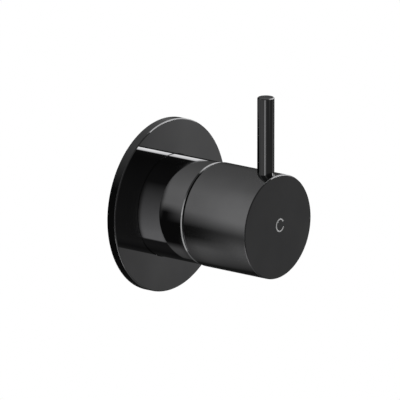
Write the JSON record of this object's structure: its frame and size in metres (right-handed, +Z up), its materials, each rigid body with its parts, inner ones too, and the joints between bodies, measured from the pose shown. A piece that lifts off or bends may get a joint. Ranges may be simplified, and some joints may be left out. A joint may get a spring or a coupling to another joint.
{
  "type": "concealed stop valve",
  "caption": "Concealed stop valve trim with its ceramic-disc headwork: round wall plate, sleeve and cylindrical handle with an upright lever pin, in polished black chrome.",
  "frame": {"origin": "centre of the wall plate's back, on the valve's axis, in the plane of the wall", "axes": "+Z up along the lever pin, +Y into the wall, the handle faces -Y, +X to the right seen from the room"},
  "size_m": [0.08, 0.089, 0.0993],
  "materials": {
    "black_chrome": "polished black chrome on brass",
    "brass": "machined, as turned",
    "rubber": "moulded, matt",
    "foam": "closed-cell foam, matt",
    "ceramic": "lapped ceramic",
    "black_plastic": "moulded, satin",
    "white_plastic": "moulded, satin",
    "steel": "stainless, satin"
  },
  "bodies": {
    "valve": {"sleeve": "black_chrome", "glide_ring": "black_plastic", "sleeve_carrier": "brass", "lock_nut": "brass", "headwork_body": "brass", "body_o_ring": "rubber", "seat_seal": "rubber", "fixed_disc": "ceramic"},
    "plate": {"wall_plate": "black_chrome", "wall_gasket": "foam", "plate_o_ring": "rubber"},
    "handle": {"handle": "black_chrome", "lever_pin": "black_chrome", "grub_screw": "steel", "spline_adapter": "brass", "adapter_screw": "steel", "spindle": "brass", "spindle_o_ring_front": "rubber", "spindle_o_ring_rear": "rubber", "thrust_washer": "white_plastic", "stop_ring": "white_plastic", "retaining_clip": "steel", "moving_disc": "ceramic"}
  },
  "joints": [
    {"name": "handle_turn", "type": "hinge", "parent": "valve", "child": "handle", "pos_m": [0, 0, 0], "axis": [0, -1, 0], "range_deg": [0, 90]},
    {"name": "plate_slide", "type": "slide", "parent": "valve", "child": "plate", "axis": [0, -1, 0], "range_m": [0, 0.025]}
  ]
}
